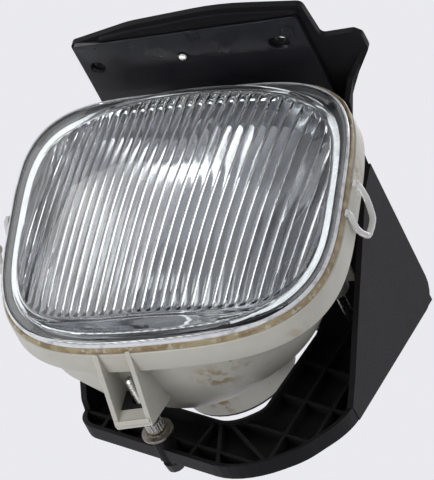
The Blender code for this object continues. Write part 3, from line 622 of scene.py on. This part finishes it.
def make_seals():
    gasket = ((0.7, 0.65), (3.0, 0.55), (4.6, 0.62), (6.0, 0.65), (6.2, 1.2), (6.0, 2.6), (0.7, 2.6))
    ring_piece("rim_gasket", rim_rings(gasket), RUBBER, ["lens_gasket"])
    edge = ((-0.05, -2.5), (-0.9, -2.3), (-1.25, -1.6), (-1.25, 0.0), (-0.9, 0.8), (-0.05, 0.9))
    # whitish ring on the edge of the glass rim: painted highlight
    ring_piece("glass_edge", rim_rings(edge), EDGE)

    def bead_ring(inset, depth):
        """A ring of the sealant, lumpy all round and thicker at the upper right corner."""
        points = []
        for angle, (x, y, z) in zip(ANGLES, rim_ring(0.0, depth)):
            swell = (noise.noise(Vector((x * 0.09, z * 0.09, 1.0))) * 0.55
                     + noise.noise(Vector((x * 0.4, z * 0.4, 1.0))) * 0.3)
            corner = max(0.0, 1 - ((x - 75) ** 2 + (z - 82) ** 2) ** 0.5 / 55)
            inner = inset - swell * 0.5 - corner * 1.1
            x, z = outline_point(angle, HALF_WIDTH - inner, HALF_HEIGHT - inner, ROUNDNESS)
            points.append((x + LENS_X, rim_y(x, z) + depth - swell * 0.14, z + LENS_Z))
        return points
    bead = [bead_ring(*row) for row in ((-1.25, -0.5), (-1.6, -0.6), (-2.0, -0.1), (-2.3, 1.0))]
    bead += rim_rings(((-2.5, 2.8), (-0.5, 2.8), (-0.5, 1.2)))
    ring_piece("sealant_bead", bead, SEALANT, ["lens_sealant"], sharp=60)


# ---------------------------------------------------------------- housing and reflector
NECK_END = 112.0
BOWL = (                        # half width, half height, power, y, lean, axis height
    (88.0, 86.0, 3.0, 42.0, 0.5, -3.0),
    (75.0, 73.0, 2.5, 64.0, 0.2, -9.0),
    (58.5, 58.5, 2.0, 79.0, 0.0, BOWL_Z),
    (50.5, 50.5, 2.0, 85.0, 0.0, BOWL_Z),
    (42.0, 42.0, 2.0, 90.0, 0.0, BOWL_Z),
    (34.0, 34.0, 2.0, 95.5, 0.0, BOWL_Z),
    (34.0, 34.0, 2.0, NECK_END, 0.0, BOWL_Z),
)


def make_housing():
    front = 3.0
    outer = rim_rings(((-2.6, front), (-3.2, front + 0.5), (-3.3, 8.0), (-3.3, BAND_DEPTH - 0.8),
                       (-3.0, BAND_DEPTH), (-2.2, BAND_DEPTH + 0.5), (3.6, BAND_DEPTH + 1.8),
                       (4.6, BAND_DEPTH + 3.0)))
    outer += [bowl_ring(*row) for row in BOWL]
    inner = [bowl_ring(w - WALL, h - WALL, p, y - (WALL if y < NECK_END else 0), lean, axis)
             for w, h, p, y, lean, axis in reversed(BOWL)]
    inner += rim_rings(((7.2, BAND_DEPTH - 0.5), (-0.5, BAND_DEPTH - 2.5), (-0.5, 5.4), (10.0, 5.4),
                        (10.0, front)))
    ring_piece("housing_shell", outer + inner, HOUSING, ["lamp_housing"], sharp=24)
    make_arm()
    for side_name, centre in zip(("left", "right"), PIVOTS):
        make_pivot_boss(side_name, centre)
    turned("vent_pipe", [(3.0, -16.0), (3.0, -0.4)], VENT, HOUSING, "lamp", "Z", 24)


def make_arm():
    """Two walls under the lamp, joined by a bar with a lip."""
    # the bevels of the walls and the bar take the paler cream: painted highlight along the edges
    wear_and_edge_highlight = [HOUSING, HOUSING_EDGE]
    side = [(3.0, -99.5), (45.5, -114.6), (48.5, -112.0), (59.0, -79.0), (64.0, -66.0), (36.0, -80.0),
            (22.0, -88.5), (19.5, -94.0), (6.0, -96.0)]
    for name, x in ARM_WALLS:
        plate_piece(name, side, x - 1.4, x + 1.4, "YZ", wear_and_edge_highlight, "lamp", 0.45, 3)
    bar = [(43.2, -113.6), (47.6, -114.6), (50.4, -105.5), (46.5, -104.9), (41.2, -105.6)]
    plate_piece("arm_cross_bar", bar, -29.2, -7.2, "YZ", wear_and_edge_highlight, "lamp", 0.7, 3)
    lip = [(41.6, -114.0), (44.4, -115.2), (45.8, -114.4), (43.2, -113.2)]
    plate_piece("arm_lip", lip, -28.8, -7.6, "YZ", HOUSING, "lamp", 0.5, 3)


def make_pivot_boss(side_name, centre):
    """A round boss for the pivot's socket, with four webs."""
    x, y, z = centre
    profile = [(7.6, -11.0), (7.6, 4.4), (7.2, 5.0), (6.0, 5.0), (6.0, -6.0)]
    turned(f"pivot_boss_{side_name}", profile, centre, HOUSING, "lamp")
    half, length = 1.0, 15.0

    def stretch(middle, direction):
        """From the boss outward along its direction, or the web's thickness across it."""
        if direction == 0:
            return middle - half, middle + half
        return min(middle, middle + direction * length), max(middle, middle + direction * length)
    for k, (dx, dz) in enumerate(((0, 1), (0, -1), (1, 0), (-1, 0))):
        x_low, x_high = stretch(x, dx)
        z_low, z_high = stretch(z, dz)
        outline = [(x_low, z_low), (x_high, z_low), (x_high, z_high), (x_low, z_high)]
        plate_piece(f"boss_web_{side_name}_{k}", outline, y - 16.0, y - 1.5, "XZ", HOUSING, "lamp",
                    0.3, 2)


def make_reflector():
    """A paraboloid set in a square mouth, with a crease where the two meet."""
    rings = rim_rings(((6.6, 1.0), (12.0, 1.2), (12.8, 2.0), (14.6, 12.0), (17.0, 20.0)))
    mouth = rings[-1]
    edge, bulb_hole = 74.0, 13.0            # radii of the paraboloid
    depth, curve = 84.0, 0.0080             # y = depth - curve * radius squared
    edge_z = -4.0                           # height of the crease's centre
    edge_y = depth - curve * edge * edge
    directions = [circle_angle(angle) for angle in ANGLES]
    for share in (0.33, 0.66):
        ring = []
        for (x1, y1, z1), angle in zip(mouth, directions):
            x2, z2 = LENS_X + edge * cos(angle), edge_z + edge * sin(angle)
            ring.append((x1 + (x2 - x1) * share, y1 + (edge_y - y1) * share, z1 + (z2 - z1) * share))
        rings.append(ring)
    for step in range(BOWL_STEPS + 1):
        r = edge - (edge - bulb_hole) * step / BOWL_STEPS
        centre_z = BOWL_Z + (edge_z - BOWL_Z) * (r / edge) ** 2
        y = depth - curve * r * r
        rings.append([(LENS_X + r * cos(angle), y, centre_z + r * sin(angle)) for angle in directions])
    back = [[(x, y + MIRROR_WALL, z) for x, y, z in ring] for ring in reversed(rings)]
    ring_piece("mirror_bowl", rings + back, MIRROR, ["reflector"], sharp=22)


def circle_angle(angle):
    """The direction of an outline point seen from the middle."""
    x, z = outline_point(angle, HALF_WIDTH, HALF_HEIGHT, ROUNDNESS, 0.0)
    return Vector((1, 0)).angle_signed(Vector((x, z)), 0.0) * -1


# ---------------------------------------------------------------- aim screw and clips
def make_aim_screw():
    """Zinc rod with a real thread and a knurled collar."""
    teeth, depth = 36, 0.045

    def knurl(radius, height, angle):
        if 60.0 < height < 66.4 and radius > 4.5:
            return radius * (1 + depth * (1 if int(angle / (2 * pi) * teeth) % 2 else -1))
        return radius
    crest, root, pitch = 2.95, 2.45, 1.0
    profile = [(1.6, 25.5), (2.5, 26.3)]
    y = 26.8
    while y < 57.0:
        profile += [(crest, y), (crest, y + 0.12), (root, y + 0.5), (root, y + 0.62)]
        y += pitch
    profile += [(3.0, 57.6), (3.0, 59.3), (4.2, 59.5), (5.1, 60.2), (5.1, 66.2), (4.4, 66.8), (2.7, 66.8),
                (2.7, 94.4)]
    turned("threaded_rod", profile, AIM, ZINC, "aim_screw", steps=72, stands_for=["aim_screw"],
           wobble=knurl)


def make_clips():
    """Two wire loops that hook over the rim, each with two feet on the glass edge."""
    for side_name, sign in (("left", -1), ("right", 1)):
        x = LENS_X + sign * CLIP_OFFSET
        y = 8.5 + 3.5 * sign
        body = f"lens_clip_{side_name}"
        path = [(-1.2, -1.2, 17.2), (0.0, 0.0, 17.0), (1.6, 8.0, 15.6), (3.2, 16.0, 10.0), (3.6, 18.0, 6.0),
                (3.6, 18.0, -3.0), (3.2, 15.6, -6.4), (1.2, 8.0, -8.6), (0.0, 0.0, -6.2), (-1.2, -1.2, -5.4)]
        loop = [(x + sign * out, y + back, z) for out, back, z in path]
        wire(f"spring_clip_{side_name}", smooth_path(loop, 2), 1.9, CLIP, body, [body])
        x_low, x_high = sorted((x, x - sign * 2.6))
        for k, z in enumerate((17.2, -5.6)):
            foot = [(y - 3.4, z - 2.3), (y - 0.4, z - 2.3), (y + 0.6, z), (y - 0.4, z + 2.3),
                    (y - 3.4, z + 2.3)]
            plate_piece(f"clip_foot_{side_name}_{k}", foot, x_low, x_high, "YZ", CLIP, body,
                        0.6, 3)


make_lens()
make_seals()
make_housing()
make_reflector()
make_aim_screw()
make_clips()


# ---------------------------------------------------------------- studio
def stage_plane(name, size, location, colour):
    mesh = bpy.data.meshes.new(name)
    bm = bmesh.new()
    bmesh.ops.create_grid(bm, x_segments=1, y_segments=1, size=size)
    bm.to_mesh(mesh)
    bm.free()
    obj = bpy.data.objects.new(name, mesh)
    obj.location = location
    bpy.context.scene.collection.objects.link(obj)
    paper = Look(f"{name}_paper", colour, 0.9)
    paper.tint(paper.span(paper.noise(2.0, 3.0), 0.4, 0.6, 0.0, 0.3), tuple(c * 0.98 for c in colour))
    mesh.materials.append(paper.mat)
    return obj


def area_light(name, location, target, size, power):
    data = bpy.data.lights.new(name, "AREA")
    data.shape = "RECTANGLE"
    data.size, data.size_y = size
    data.energy = power
    obj = bpy.data.objects.new(name, data)
    obj.location = location
    direction = Vector(target) - Vector(location)
    obj.rotation_euler = direction.to_track_quat("-Z", "Y").to_euler()
    bpy.context.scene.collection.objects.link(obj)
    return obj


def make_world():
    """Soft studio surround: pale behind the lamp, with darker flags in front of it."""
    world = bpy.data.worlds.new("studio")
    bpy.context.scene.world = world
    world.use_nodes = True
    tree = world.node_tree
    background = tree.nodes["Background"]
    coords = tree.nodes.new("ShaderNodeTexCoord")
    split = tree.nodes.new("ShaderNodeSeparateXYZ")
    tree.links.new(coords.outputs["Generated"], split.inputs["Vector"])
    ramp = tree.nodes.new("ShaderNodeValToRGB")
    ramp.color_ramp.interpolation = "EASE"
    stops = ((0.0, 0.30), (0.30, 0.34), (0.5, 0.55), (0.62, 0.835), (1.0, 0.835))
    elements = ramp.color_ramp.elements
    while len(elements) < len(stops):
        elements.new(0.5)
    for element, (where, level) in zip(elements, stops):
        element.position = where
        element.color = (level * 0.985, level * 0.985, level * 1.03, 1.0)
    shift = tree.nodes.new("ShaderNodeMapRange")
    shift.inputs["From Min"].default_value = -1.0
    shift.inputs["From Max"].default_value = 1.0
    tree.links.new(split.outputs["Y"], shift.inputs["Value"])
    tree.links.new(shift.outputs["Result"], ramp.inputs["Fac"])
    tree.links.new(ramp.outputs["Color"], background.inputs["Color"])
    background.inputs["Strength"].default_value = 1.0


bpy.context.scene.view_settings.view_transform = "Standard"
make_world()
stage_plane("floor", 12.0, (0, 0, -4.6), (0.83, 0.83, 0.86))
area_light("key", (-1.2, -1.3, 0.9), (0, 0, -0.12), (1.4, 1.2), 7.5)
area_light("fill", (1.5, -0.9, -0.3), (0, 0.05, -0.15), (0.8, 1.4), 4.0)
area_light("under", (-0.5, -0.7, -1.2), (0, 0.0, -0.2), (1.2, 0.5), 9.0)
area_light("top", (0.3, 0.6, 1.4), (0, 0.05, -0.1), (1.2, 0.6), 8.0)

# Camera: its right, and the way back from the target to it
RIGHT = Vector((0.906, 0.372, 0.203)).normalized()
BACK = Vector((0.404, -0.631, -0.66)).normalized()
UP = BACK.cross(RIGHT).normalized()
RIGHT = UP.cross(BACK).normalized()
TARGET = Vector((0.0195, 0.0179, -0.12605))
DISTANCE = 6.0
camera_data = bpy.data.cameras.new("camera")
camera_data.lens = 810.0
camera_data.sensor_width = 36.0
camera_data.sensor_fit = "AUTO"
camera_data.clip_end = 40.0
camera = bpy.data.objects.new("camera", camera_data)
facing = Matrix((RIGHT, UP, BACK)).transposed().to_4x4()
camera.matrix_world = Matrix.Translation(TARGET + BACK * DISTANCE) @ facing
bpy.context.scene.collection.objects.link(camera)
bpy.context.scene.camera = camera
